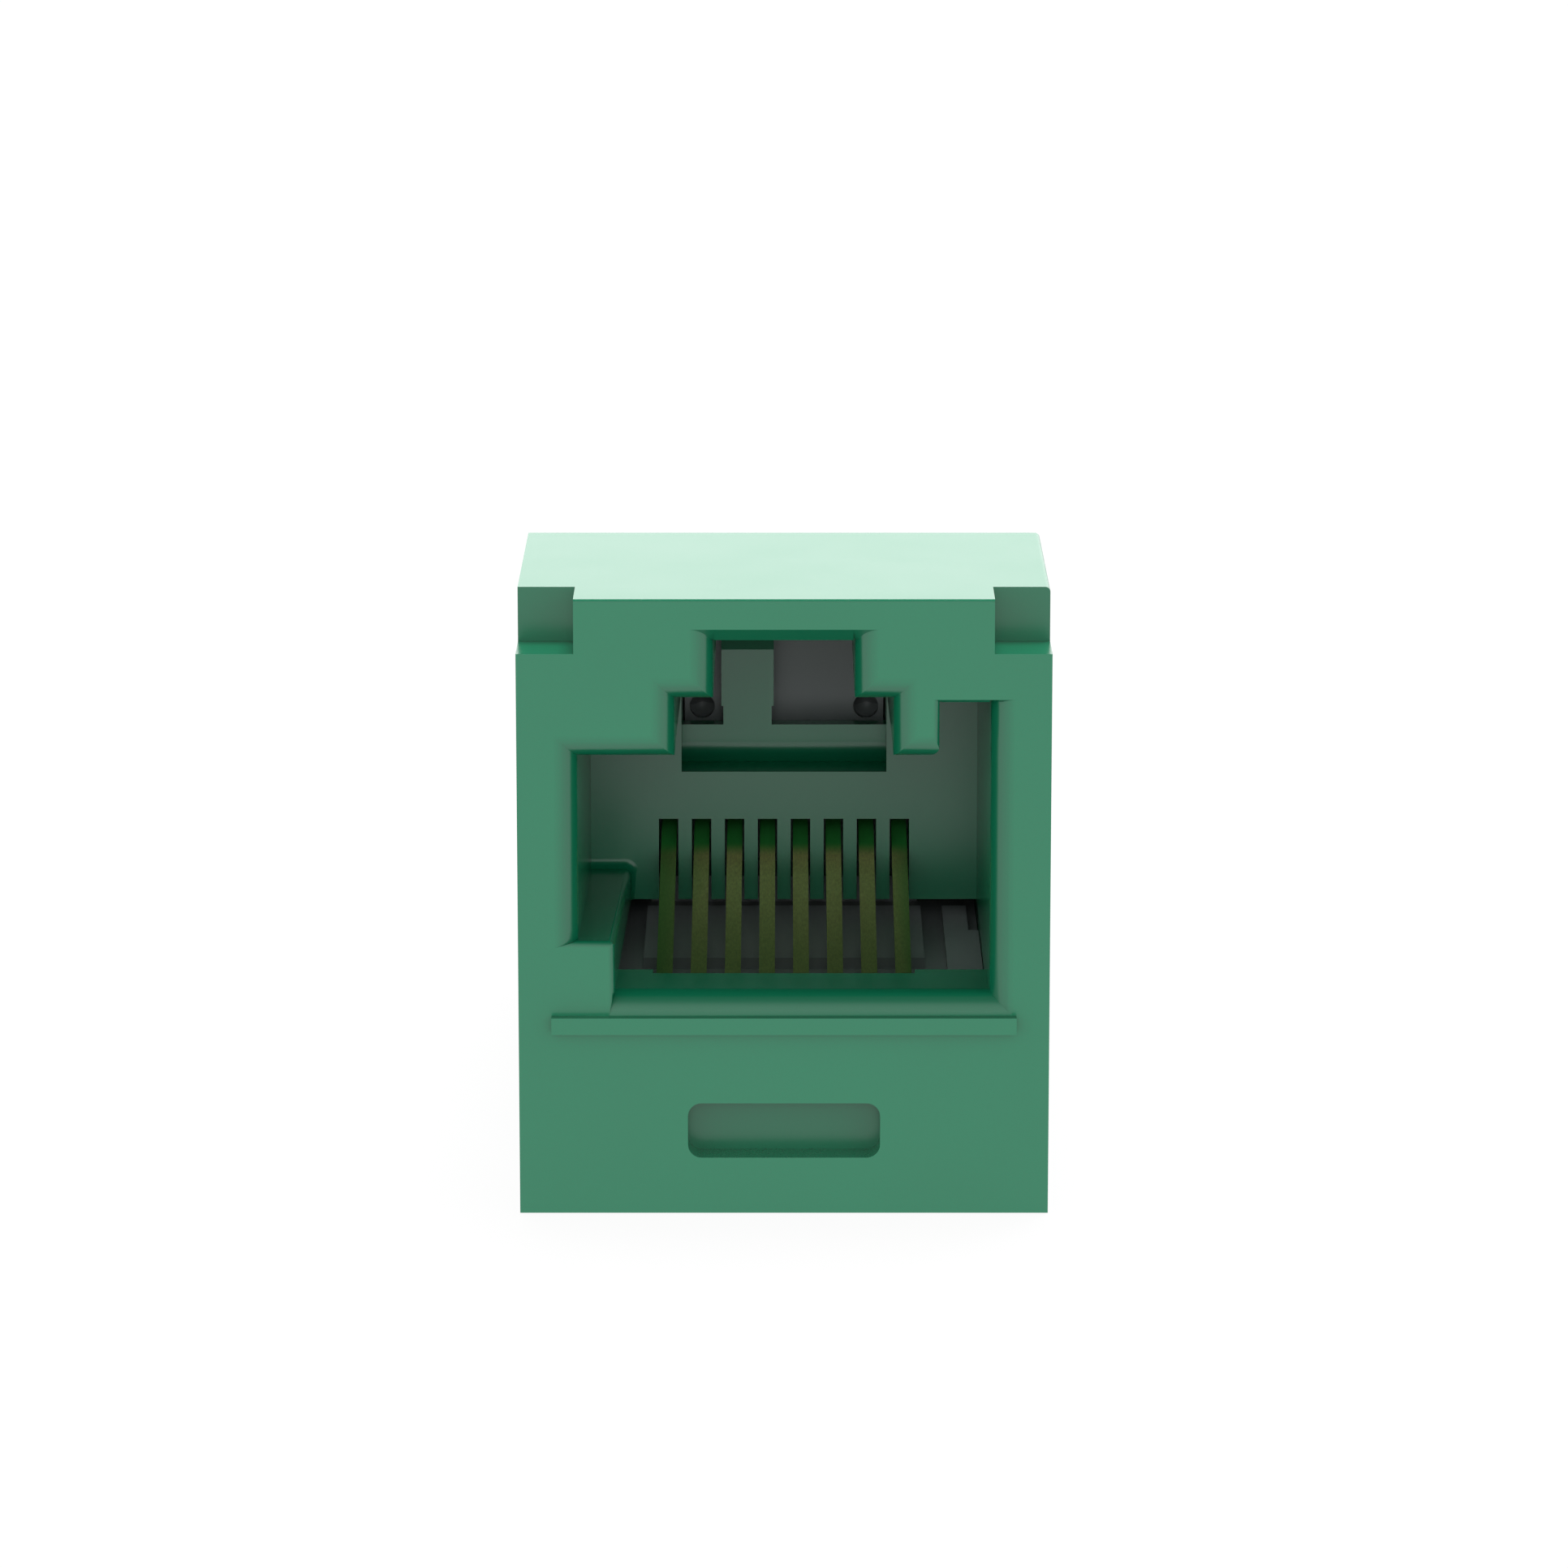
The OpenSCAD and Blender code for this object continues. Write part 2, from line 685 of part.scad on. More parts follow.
// Block that fills the skirt's mouth, with two rows of wire slots behind it
catch_out = 0.6;
cap_catch_inset = 0.2;
cap_catch_h = 1.3;
cap_catch_front = 1.6;
cap_catch_end = 1;
cap_catch_y = skirt_back + cap_catch_front;
cap_catch_tip = row_back - cap_catch_end;
tail_room = 0.5;
tail_room_past = 0.2;
module idc_block() {
    tail_room_w = zone_w + 2 * tail_room;
    color("dimgray") in_frame() difference() {
        union() {
            box([-inner_w / 2, block_y, inner_bottom], [inner_w / 2, skirt_back, inner_top]);
            for (z = [mid_z - row_offset, mid_z + row_offset]) {
                wire_row(z);
            }
            mirrored_x() translate([inner_w / 2, 0, 0])
                catch(catch_y, catch_y + catch_len, catch_out, mid_z - catch_h / 2, mid_z + catch_h / 2);
        }
        for (i = [1:2 * row_forks]) {
            translate([fork_x(i), 0, fork_z(i)]) fork_room();
        }
        box([-tail_room_w / 2, block_y - eps, strand_z - tail_room],
            [tail_room_w / 2, tail_end + tail_room_past, strand_z + tail_step + tail_room]);
    }
}

// One row, with the catches at its ends that hold the cap
module wire_row(z) {
    cap_catch_out = cap_w / 2 - row_w / 2 - cap_catch_inset;
    box([-row_w / 2, skirt_back - eps, z - row_h / 2], [row_w / 2, row_back, z + row_h / 2]);
    mirrored_x() translate([row_w / 2, 0, 0])
        catch(cap_catch_tip, cap_catch_y, cap_catch_out, z - cap_catch_h / 2, z + cap_catch_h / 2);
}

// Wire slot with a flared mouth, and the flat pocket that a fork is pushed into
wire_floor = 0.8;
wire_mouth = 0.5;
module fork_room() {
    wire_x = wire_slot_w / 2;
    wire_y = skirt_back + wire_floor;
    blade_x = blade_w / 2 + fit / 2;
    blade_z = blade_t / 2 + fit / 2;
    along_z(-row_h / 2 - eps, row_h / 2 + eps) polygon(both_sides([
        [wire_x, wire_y],
        [wire_x, row_back - wire_mouth],
        [wire_x + wire_mouth, row_back + eps]]));
    box([-blade_x, block_y - eps, -blade_z], [blade_x, row_back + eps, blade_z]);
}

// Flat fork: a pin through the board, a blade, and two tines with a flared mouth
pin_w = 0.5;
pin_out = 0.4;
blade_inset = 0.3;
blade_y = block_y + blade_inset;
tine_inset = 0.4;
tine_back = row_back - tine_inset;
tine_tip_w = 0.35;
fork_root = 1.2;
module idc_terminal(i) {
    slot_y = skirt_back + fork_root;
    half = blade_w / 2;
    slot = fork_slot_w / 2;
    mouth = half - tine_tip_w;
    color("lightgray") in_frame() translate([fork_x(i), 0, fork_z(i)]) along_z(-blade_t / 2, blade_t / 2)
        polygon(both_sides([
            [pin_w / 2, board_y - pin_out],
            [pin_w / 2, blade_y],
            [half, blade_y],
            [half, tine_back],
            [mouth, tine_back],
            [slot, tine_back - mouth],
            [slot, slot_y]]));
}

// Cap over both rows: outline from above and from the side, with bevelled back edges
module cap_body() {
    intersection() {
        along_z(mid_z - cap_h / 2, mid_z + cap_h / 2) cap_outline(cap_w / 2, -cap_w / 2);
        along_x(-cap_w / 2, cap_w / 2) rotate(-90) mirror([1, 0])
            cap_outline(mid_z + cap_h / 2, mid_z - cap_h / 2);
    }
}

module cap_outline(high, low) {
    polygon([
        [low, skirt_back],
        [high, skirt_back],
        [high, cap_back - cap_bevel],
        [high - cap_bevel, cap_back],
        [low + cap_bevel, cap_back],
        [low, cap_back - cap_bevel]]);
}

// Half-round ribs across the top and the underside, to pull the cap by
grip_ribs = 3;
rib_pitch = 0.8;
rib_inset = 1.1;
module grip() {
    rib_x = cap_w / 2 - rib_inset;
    last_y = cap_back - cap_bevel - 2 * rib_r;
    for (k = [0:grip_ribs - 1], z = [mid_z - cap_h / 2, mid_z + cap_h / 2]) {
        translate([-rib_x, last_y - k * rib_pitch, z]) rotate([0, 90, 0])
            cylinder(r = rib_r, h = 2 * rib_x);
    }
}

chamber_side = 1;
chamber_wall = 0.6;
wire_window_end = 1.2;
module wire_cap() {
    color("dimgray") in_frame() union() {
        difference() {
            union() {
                cap_body();
                grip();
            }
            for (z = [mid_z - row_offset, mid_z + row_offset]) {
                row_room(z);
            }
            wire_chamber();
            for (i = [1:row_forks]) {
                translate([fork_x(i), 0, 0]) box([-wire_slot_w / 2, skirt_back - eps, mid_z - cap_h],
                    [wire_slot_w / 2, row_back - wire_window_end, mid_z + cap_h]);
            }
        }
        for (i = [1:2 * row_forks]) {
            translate([fork_x(i), 0, fork_z(i)]) wire_pusher();
        }
    }
}

// Room in the cap for one row, with a window at each end for its catch
module row_room(z) {
    row_x = row_w / 2 + fit;
    row_z = row_h / 2 + fit;
    catch_z = cap_catch_h / 2 + fit;
    box([-row_x, skirt_back - eps, z - row_z], [row_x, row_back + fit, z + row_z]);
    box([-cap_w, cap_catch_y - fit, z - catch_z], [cap_w, cap_catch_tip + fit, z + catch_z]);
}

// Room between the rows where the wires fan out, and the cable entry with its lead-in
module wire_chamber() {
    chamber_x = row_w / 2 - chamber_side;
    chamber_z = (cable_d + fit) / 2;
    chamber_back = row_back - chamber_wall;
    box([-chamber_x, skirt_back - eps, mid_z - chamber_z], [chamber_x, chamber_back, mid_z + chamber_z]);
    pin(0, chamber_back - eps, mid_z, cable_d, cap_back - chamber_back + 2 * eps);
    translate([0, cap_back - entry_bevel, mid_z]) rotate([-90, 0, 0])
        cylinder(d1 = cable_d, d2 = cable_d + 2 * (entry_bevel + eps), h = entry_bevel + eps);
}

// Rib that presses a wire into its fork, slit so that the fork's tines pass it
pusher_len = 2.2;
pusher_clear = 0.15;
slit_clear = 0.15;
slit_past = 0.2;
module wire_pusher() {
    pusher_x = wire_slot_w / 2 - pusher_clear;
    pusher_z = row_h / 2 - fit;
    slit_z = blade_t / 2 + slit_clear;
    front = row_back - pusher_len;
    difference() {
        box([-pusher_x, front, -pusher_z], [pusher_x, row_back + fit + eps, pusher_z]);
        box([-wire_slot_w, front - eps, -slit_z], [wire_slot_w, tine_back + slit_past, slit_z]);
    }
}

front_housing();
contact_carrier();
circuit_board();
idc_block();
wire_cap();
for (i = [1:contacts]) {
    plug_contact(i);
}
for (i = [1:2 * row_forks]) {
    idc_terminal(i);
}
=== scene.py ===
"""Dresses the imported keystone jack: plastics, plated contacts, a plain white studio and the camera."""

import math

import bmesh
import bpy
from bpy.props import FloatProperty, FloatVectorProperty, PointerProperty
from bpy.types import Operator, Panel, PropertyGroup
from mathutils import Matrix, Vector


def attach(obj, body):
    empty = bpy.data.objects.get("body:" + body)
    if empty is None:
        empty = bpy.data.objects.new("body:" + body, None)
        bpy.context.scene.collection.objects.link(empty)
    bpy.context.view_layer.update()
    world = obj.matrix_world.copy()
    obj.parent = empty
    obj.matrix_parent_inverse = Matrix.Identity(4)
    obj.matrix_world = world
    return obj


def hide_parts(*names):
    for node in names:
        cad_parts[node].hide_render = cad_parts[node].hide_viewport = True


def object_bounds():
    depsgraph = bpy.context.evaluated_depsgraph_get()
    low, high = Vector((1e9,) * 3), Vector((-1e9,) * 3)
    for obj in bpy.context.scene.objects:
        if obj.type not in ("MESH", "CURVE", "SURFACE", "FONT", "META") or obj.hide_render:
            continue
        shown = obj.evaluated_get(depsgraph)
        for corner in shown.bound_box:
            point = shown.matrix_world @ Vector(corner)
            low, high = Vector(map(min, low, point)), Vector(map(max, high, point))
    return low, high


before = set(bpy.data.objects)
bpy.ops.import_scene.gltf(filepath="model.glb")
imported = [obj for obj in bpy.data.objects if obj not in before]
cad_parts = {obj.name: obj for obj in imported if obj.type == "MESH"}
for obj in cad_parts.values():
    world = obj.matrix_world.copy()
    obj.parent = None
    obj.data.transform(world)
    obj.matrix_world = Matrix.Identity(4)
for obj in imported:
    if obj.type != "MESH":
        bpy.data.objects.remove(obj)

bl_info = {
    "name": "Keystone Jack Dressing",
    "version": (1, 0, 0),
    "blender": (4, 5, 0),
    "location": "View3D > Sidebar > Jack",
    "description": "Gives the solids of a snap-in modular jack their moulded and plated finishes",
    "category": "Object",
}

CAD_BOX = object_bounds()
BODY = "root"
CONTACTS = [f"plug_contact_{i}" for i in range(1, 9)]
TERMINALS = [f"idc_terminal_{i}" for i in range(1, 9)]
PAINTED_SHADING = "painted_shading"

MM = 0.001
MERGE_DISTANCE = 1e-7
FLAT_ANGLE = math.radians(0.05)
SMOOTH_ANGLE = math.radians(18)
# How far a box reaches past the corners of a mesh that it picks
SLACK = 0.02 * MM
# Least part of a surface's normal along an axis, where it leans that way, faces that way and is flat
LEANING = 0.5
FACING = 0.9
FLAT = 0.96

# Where the notches in the face's upper corners lie, and the walls that look forward in the port, which get
# painted shade
NOTCH_DEPTH = 2.2 * MM
NOTCH_SIDE = 6 * MM
NOTCH_HEIGHT = 17 * MM
RECESS_START = 0.8 * MM
RECESS_END = 13 * MM

# How strongly light or shade is painted on places, where 1 is the full change of tone: painted shade on the
# housing, and painted light on the carrier, least on its slopes
NOTCH_SHADE = 1.0
RECESS_SHADE = 0.8
PAD_FRONT_LIGHT = 0.38
PAD_BACK_LIGHT = 1.0
FLAT_LIGHT = 0.35
LIFTED_SLOPE_LIGHT = 0.22
SLOPE_LIGHT = 0.1


class Wire:
    """A socket of a material, so that shader maths on values is written as plain expressions."""

    def __init__(self, finish, socket):
        self.finish = finish
        self.socket = socket

    def _maths(self, operation, first, second):
        return self.finish.node("ShaderNodeMath", {"operation": operation}, {0: first, 1: second})

    def __add__(self, other):
        return self._maths("ADD", self, other)

    def __radd__(self, other):
        return self._maths("ADD", other, self)

    def __sub__(self, other):
        return self._maths("SUBTRACT", self, other)

    def __rsub__(self, other):
        return self._maths("SUBTRACT", other, self)

    def __mul__(self, other):
        return self._maths("MULTIPLY", self, other)

    def __rmul__(self, other):
        return self._maths("MULTIPLY", other, self)


class Finish:
    """The node tree of one material or of the world, built one node at a time."""

    def __init__(self, owner):
        owner.use_nodes = True
        self.tree = owner.node_tree
        self.tree.nodes.clear()

    def node(self, kind, settings=None, inputs=None, output=0):
        """Adds a node: its settings first, then the values or links of its sockets."""
        made = self.tree.nodes.new(kind)
        for name, value in (settings or {}).items():
            setattr(made, name, value)
        for name, value in (inputs or {}).items():
            if isinstance(value, Wire):
                self.tree.links.new(value.socket, made.inputs[name])
            else:
                made.inputs[name].default_value = value
        return Wire(self, made.outputs[output]) if made.outputs else made

    def between(self, low, high, share):
        """The colour that lies the given share of the way from low to high."""
        first, last = [end if isinstance(end, Wire) else (*end, 1) for end in (low, high)]
        sockets = {"Factor": share, 6: first, 7: last}
        return self.node("ShaderNodeMix", {"data_type": "RGBA"}, sockets, output=2)

    def larger(self, first, second):
        """The larger of two values."""
        return self.node("ShaderNodeMath", {"operation": "MAXIMUM"}, {0: first, 1: second})

    def noise(self, place, feature, detail=2.0, stretch=(1, 1, 1)):
        """Noise from 0 to 1 with blotches about as wide as the feature, longer along a stretched axis."""
        scale = [1 / (feature * longer) for longer in stretch]
        scaled = self.node("ShaderNodeMapping", None, {"Vector": place, "Scale": scale})
        return self.node("ShaderNodeTexNoise", None, {"Vector": scaled, "Scale": 1.0, "Detail": detail})

    def bump(self, height, depth):
        """A surface relief of the given depth."""
        return self.node("ShaderNodeBump", None, {"Height": height, "Distance": depth, "Strength": 1.0})

    def surface(self, shader):
        """Ends the material with its shader."""
        self.node("ShaderNodeOutputMaterial", None, {"Surface": shader})


def shade(colour, factor):
    """The colour made lighter or darker."""
    return [min(1.0, c * factor) for c in colour]


def moulded_plastic(name, colour, roughness, ior, painted_tone=1.0):
    """Moulded plastic with faint flow marks and a fine tool grain, with light or shade painted into its
    colour where the attribute for painted shading is set.
    """
    flow_width = 4 * MM
    grain_width = 0.09 * MM
    grain_depth = 0.0006 * MM
    material = bpy.data.materials.new(name)
    finish = Finish(material)
    place = finish.node("ShaderNodeTexCoord", output="Object")
    flow = finish.noise(place, flow_width, 3.0)
    grain = finish.noise(place, grain_width)
    painted_shading = finish.node("ShaderNodeAttribute", {"attribute_name": PAINTED_SHADING}, output="Fac")
    tone = finish.between(shade(colour, 0.94), shade(colour, 1.06), 0.6 * flow + 0.4 * grain)
    finish.surface(
        finish.node(
            "ShaderNodeBsdfPrincipled",
            None,
            {
                # Painted light or shade: the base colour moves towards the painted tone as far as the
                # attribute says
                "Base Color": finish.between(tone, shade(colour, painted_tone), painted_shading),
                "Roughness": roughness + 0.06 * (flow - 0.5) + 0.05 * (grain - 0.5),
                "IOR": ior,
                "Normal": finish.bump(grain, grain_depth),
            },
        )
    )
    return material


def past(finish, place, axis, edge, fade):
    """0 before the edge along an axis and 1 past it, with a soft step between."""
    along = finish.node("ShaderNodeSeparateXYZ", None, {"Vector": place}, output=axis)
    step = {"Value": along, "From Min": edge - fade, "From Max": edge + fade}
    return finish.node("ShaderNodeMapRange", {"interpolation_type": "SMOOTHSTEP"}, step)


def contact_tone(finish, place, plating, nearness, looks):
    """The contacts' tone, with a painted green reflection on their feet, on the outer ones, and on their free
    ends.
    """
    left_fade = 1.1 * MM
    right_fade = 0.6 * MM
    tip_fade = 0.5 * MM
    level_fade = 0.25 * MM
    left = 1 - past(finish, place, "X", looks.painted_reflection_left, left_fade)
    right = past(finish, place, "X", looks.painted_reflection_right, right_fade)
    # Painted green reflection of the housing, fading from the feet towards the comb and strong on the outer
    # contacts
    painted_reflection = finish.larger(0.45 * (1 - nearness), 0.75 * (left + right))
    reflected_tone = finish.between(plating, shade(looks.tip_reflection, 0.6), painted_reflection)
    behind = past(finish, place, "Y", looks.tip_edge, tip_fade)
    above = past(finish, place, "Z", looks.tip_level, level_fade)
    return finish.between(reflected_tone, looks.tip_reflection, behind * above)


def plated_metal(name, colour, roughness, stretch, scratch, looks=None):
    """Plated strip metal with the fine grain of drawing, and the contacts' painted green reflections if given
    their looks.
    """
    grain_width = 0.045 * MM
    cloud_width = 0.6 * MM
    material = bpy.data.materials.new(name)
    finish = Finish(material)
    place = finish.node("ShaderNodeTexCoord", output="Object")
    drawn = finish.noise(place, grain_width, stretch=stretch)
    cloud = finish.noise(place, cloud_width)
    tone = finish.between(shade(colour, 0.45), shade(colour, 1.55), 0.8 * drawn + 0.2 * cloud)
    bare = 0.8 + 0.1 * cloud
    if looks is not None:
        half = looks.arm_length / 2
        nearness = past(finish, place, "Y", looks.tip_edge - half, half)
        tone = contact_tone(finish, place, tone, nearness, looks)
        bare = bare - 0.3 * nearness
    finish.surface(
        finish.node(
            "ShaderNodeBsdfPrincipled",
            None,
            {
                "Base Color": tone,
                "Metallic": bare,
                "Roughness": roughness + 0.12 * (drawn - 0.5) + 0.08 * (cloud - 0.5),
                "Normal": finish.bump(drawn, scratch),
            },
        )
    )
    return material


def laminate(name, colour, roughness):
    """Solder mask over a glass weave that shows faintly through it."""
    threads = 900.0
    weave_depth = 0.004 * MM
    material = bpy.data.materials.new(name)
    finish = Finish(material)
    place = finish.node("ShaderNodeTexCoord", output="Object")
    warp, weft = [
        finish.node(
            "ShaderNodeTexWave", {"bands_direction": axis}, {"Vector": place, "Scale": threads}, output=1
        )
        for axis in ("X", "Z")
    ]
    weave = 0.5 * warp + 0.5 * weft
    finish.surface(
        finish.node(
            "ShaderNodeBsdfPrincipled",
            None,
            {
                "Base Color": finish.between(shade(colour, 0.85), shade(colour, 1.15), weave),
                "Roughness": roughness + 0.1 * (weave - 0.5),
                "Normal": finish.bump(weave, weave_depth),
            },
        )
    )
    return material


class JackFinishes(PropertyGroup):
    """Colours and gloss of the jack's plastics and metals."""

    green: FloatVectorProperty(
        name="Housing green",
        description="Colour of the moulded housing",
        subtype="COLOR",
        size=3,
        min=0.0,
        max=1.0,
        default=(0.006, 0.207, 0.099),
    )
    # The carrier is lightened by painted light, not by rubbing; this grey is its tone before that light
    grey: FloatVectorProperty(
        name="Carrier grey",
        description="Colour of the contact carrier where nothing has rubbed it lighter",
        subtype="COLOR",
        size=3,
        min=0.0,
        max=1.0,
        default=(0.07, 0.077, 0.079),
    )
    black: FloatVectorProperty(
        name="Cap black",
        description="Colour of the terminal block and the wire cap",
        subtype="COLOR",
        size=3,
        min=0.0,
        max=1.0,
        default=(0.016, 0.017, 0.018),
    )
    gold: FloatVectorProperty(
        name="Contact plating",
        description="Colour of the plated contacts",
        subtype="COLOR",
        size=3,
        min=0.0,
        max=1.0,
        default=(0.95, 0.79, 0.27),
    )
    # The tips' green is a painted reflection of the green comb round them
    tip_reflection: FloatVectorProperty(
        name="Contact tips",
        description="Colour of the contacts' free ends, which lie in the green comb",
        subtype="COLOR",
        size=3,
        min=0.0,
        max=1.0,
        default=(0.07, 0.56, 0.11),
    )
    tip_edge: FloatProperty(
        name="Tip edge",
        description="Where along the jack the contacts run into the comb, from its middle",
        unit="LENGTH",
        default=-3.1 * MM,
    )
    tip_level: FloatProperty(
        name="Tip level",
        description="Height above which the contacts' ends take the colour of their tips",
        unit="LENGTH",
        default=7.4 * MM,
    )
    arm_length: FloatProperty(
        name="Contact arm length",
        description="Length of the contacts' sloping arms in front of the comb",
        unit="LENGTH",
        default=8 * MM,
    )
    # Where the painted green reflection on the outer contacts begins, on each side
    painted_reflection_left: FloatProperty(
        name="Sheen on the left",
        description="Where the green sheen on the outer contacts begins on the left side",
        unit="LENGTH",
        default=-2.9 * MM,
    )
    painted_reflection_right: FloatProperty(
        name="Sheen on the right",
        description="Where the green sheen on the outer contacts begins on the right side",
        unit="LENGTH",
        default=3.45 * MM,
    )
    tin: FloatVectorProperty(
        name="Terminal plating",
        description="Colour of the matt tin on the terminals",
        subtype="COLOR",
        size=3,
        min=0.0,
        max=1.0,
        default=(0.62, 0.62, 0.6),
    )
    mask: FloatVectorProperty(
        name="Solder mask",
        description="Colour of the circuit board",
        subtype="COLOR",
        size=3,
        min=0.0,
        max=1.0,
        default=(0.02, 0.12, 0.05),
    )
    # The pads are lightened by painted light, more towards their backs, not by rubbing
    pad_level: FloatProperty(
        name="Pad level",
        description="Height of the carrier's raised pads, which are rubbed lighter than the rest of it",
        unit="LENGTH",
        default=5.9 * MM,
    )
    gloss: FloatProperty(
        name="Plastic roughness",
        description="Roughness of the moulded plastics",
        subtype="FACTOR",
        min=0.0,
        max=1.0,
        default=0.24,
    )


class JackPort(PropertyGroup):
    """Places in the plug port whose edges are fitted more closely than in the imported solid."""

    depth: FloatProperty(
        name="Port depth",
        description="Depth of the port from the face to the comb wall",
        unit="LENGTH",
        default=12 * MM,
    )
    rim_roll: FloatProperty(
        name="Rim roll",
        description="Roll of the rim round the port",
        unit="LENGTH",
        default=0.7 * MM,
    )
    key_roll: FloatProperty(
        name="Key roll",
        description="Small roll on the edges of the key block and the key slot",
        unit="LENGTH",
        default=0.18 * MM,
    )
    cove: FloatProperty(
        name="Cove",
        description="Cove where the key block runs into the comb wall",
        unit="LENGTH",
        default=0.28 * MM,
    )
    key_side: FloatProperty(
        name="Key side",
        description="Where the key block's free side lies, from the middle of the jack",
        unit="LENGTH",
        default=-4.94 * MM,
    )
    key_width: FloatProperty(
        name="Key width",
        description="Width of the key block",
        unit="LENGTH",
        default=1.06 * MM,
    )
    key_height: FloatProperty(
        name="Key height",
        description="Height of the key block above the port's floor",
        unit="LENGTH",
        default=1.41 * MM,
    )
    key_top: FloatProperty(
        name="Key top",
        description="Height of the key block's level top in the packed solid",
        unit="LENGTH",
        default=8.04 * MM,
    )
    key_depth: FloatProperty(
        name="Key depth",
        description="How far behind the face the key block runs into the cove at its back end",
        unit="LENGTH",
        default=11.6 * MM,
    )
    key_lift: FloatProperty(
        name="Key front lift",
        description="How far the key block's front edge is raised",
        unit="LENGTH",
        default=0.15 * MM,
    )
    key_drop: FloatProperty(
        name="Key back drop",
        description="How far the key block's back end is lowered",
        unit="LENGTH",
        default=0.41 * MM,
    )
    key_spread: FloatProperty(
        name="Key back spread",
        description="How far the free side of the key block's back end is moved outwards",
        unit="LENGTH",
        default=0.22 * MM,
    )
    slot_side: FloatProperty(
        name="Slot side",
        description="Where the key slot's left side lies, from the middle of the jack",
        unit="LENGTH",
        default=4.5 * MM,
    )
    slot_width: FloatProperty(
        name="Slot width",
        description="Width of the key slot",
        unit="LENGTH",
        default=1.5 * MM,
    )
    slot_top: FloatProperty(
        name="Slot top",
        description="Height of the key slot's roof",
        unit="LENGTH",
        default=15.35 * MM,
    )
    slot_edge: FloatProperty(
        name="Slot edge",
        description="How far above the key slot's roof the narrow edge over the slot leaves the face",
        unit="LENGTH",
        default=0.048 * MM,
    )
    slot_fall: FloatProperty(
        name="Slot edge fall",
        description="How far the narrow edge over the key slot falls from the face",
        unit="LENGTH",
        default=0.095 * MM,
    )
    slot_reach: FloatProperty(
        name="Slot edge reach",
        description="How far behind the face the narrow edge over the key slot ends",
        unit="LENGTH",
        default=0.136 * MM,
    )
    throat_side: FloatProperty(
        name="Throat side",
        description="Half the width of the throat at the top of the port",
        unit="LENGTH",
        default=2.05 * MM,
    )
    throat_top: FloatProperty(
        name="Throat top",
        description="Height of the throat's roof",
        unit="LENGTH",
        default=17.085 * MM,
    )
    throat_bevel: FloatProperty(
        name="Throat bevel",
        description="Height and depth of the bevel in front of the throat's roof",
        unit="LENGTH",
        default=0.38 * MM,
    )


class JackStage(PropertyGroup):
    """Where the camera stands and how the studio is lit."""

    lens: FloatProperty(
        name="Focal length",
        description="Focal length of the camera on a 36 mm sensor, in millimetres",
        subtype="DISTANCE_CAMERA",
        default=156.04,
    )
    distance: FloatProperty(
        name="Camera distance",
        description="How far the camera stands in front of the jack's face",
        unit="LENGTH",
        default=192.16 * MM,
    )
    height: FloatProperty(
        name="Camera height",
        description="Height of the camera above the floor",
        unit="LENGTH",
        default=55.85 * MM,
    )
    pitch: FloatProperty(
        name="Camera pitch",
        description="How far the camera looks down from level",
        unit="ROTATION",
        default=math.radians(12.596),
    )
    face_setback: FloatProperty(
        name="Face setback",
        description="How far the face lies behind the front of its proud lower bar",
        unit="LENGTH",
        default=0.33 * MM,
    )
    room: FloatProperty(
        name="Dim ceiling",
        description="Brightness of the studio's ceiling, where its white walls are 1",
        subtype="FACTOR",
        min=0.0,
        max=1.0,
        default=0.2,
    )
    toplight: FloatProperty(
        name="Top lamp",
        description="Power of the soft lamp above and behind the jack",
        unit="POWER",
        min=0.0,
        default=2.4,
    )
    backlight: FloatProperty(
        name="Backdrop lamp",
        description="Power of the wide soft lamp in front of the backdrop",
        unit="POWER",
        min=0.0,
        default=0.32,
    )
    fill: FloatProperty(
        name="Front fill",
        description="Power of the soft lamp beside the camera that lights the port",
        unit="POWER",
        min=0.0,
        default=0.24,
    )


def dressed_copy(context, node, name):
    """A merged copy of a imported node, in edit mode with nothing selected, ready to be shaped."""
    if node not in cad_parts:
        raise RuntimeError(f"the packed model has no node named {node}")
    bpy.ops.object.select_all(action="DESELECT")
    piece = bpy.data.objects.new(name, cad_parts[node].data.copy())
    context.scene.collection.objects.link(piece)
    context.view_layer.objects.active = piece
    piece.select_set(True)
    bpy.ops.object.mode_set(mode="EDIT")
    bpy.ops.mesh.select_all(action="SELECT")
    bpy.ops.mesh.remove_doubles(threshold=MERGE_DISTANCE)
    bpy.ops.mesh.customdata_custom_splitnormals_clear()
    bpy.ops.mesh.dissolve_limited(angle_limit=FLAT_ANGLE)
    bpy.ops.mesh.select_all(action="DESELECT")
    return piece


def pick(piece, low, high):
    """Selects all corners of the piece that lie in a box."""
    mesh = bmesh.from_edit_mesh(piece.data)
    bpy.ops.mesh.select_mode(type="VERT")
    for vertex in mesh.verts:
        vertex.select_set(all(a < c < b for a, c, b in zip(low, vertex.co, high)))
    mesh.select_flush_mode()
    bmesh.update_edit_mesh(piece.data)


def shift(piece, low, high, step):
    """Moves all corners of the piece that lie in a box by a step."""
    pick(piece, low, high)
    bpy.ops.transform.translate(value=step)


def lay_on_slope(piece, face, top, fall, reach):
    """Lays the picked corners of the piece on a slope that starts at the face and is level past its reach."""
    mesh = bmesh.from_edit_mesh(piece.data)
    for vertex in mesh.verts:
        if vertex.select:
            vertex.co.z = top - fall * min(1.0, (vertex.co.y - face) / reach)
    bmesh.update_edit_mesh(piece.data)


def weld():
    """Merges the corners that now lie on one another and drops the faces that have shrunk to nothing."""
    bpy.ops.mesh.select_all(action="SELECT")
    bpy.ops.mesh.remove_doubles(threshold=MERGE_DISTANCE)
    bpy.ops.mesh.dissolve_degenerate(threshold=MERGE_DISTANCE)


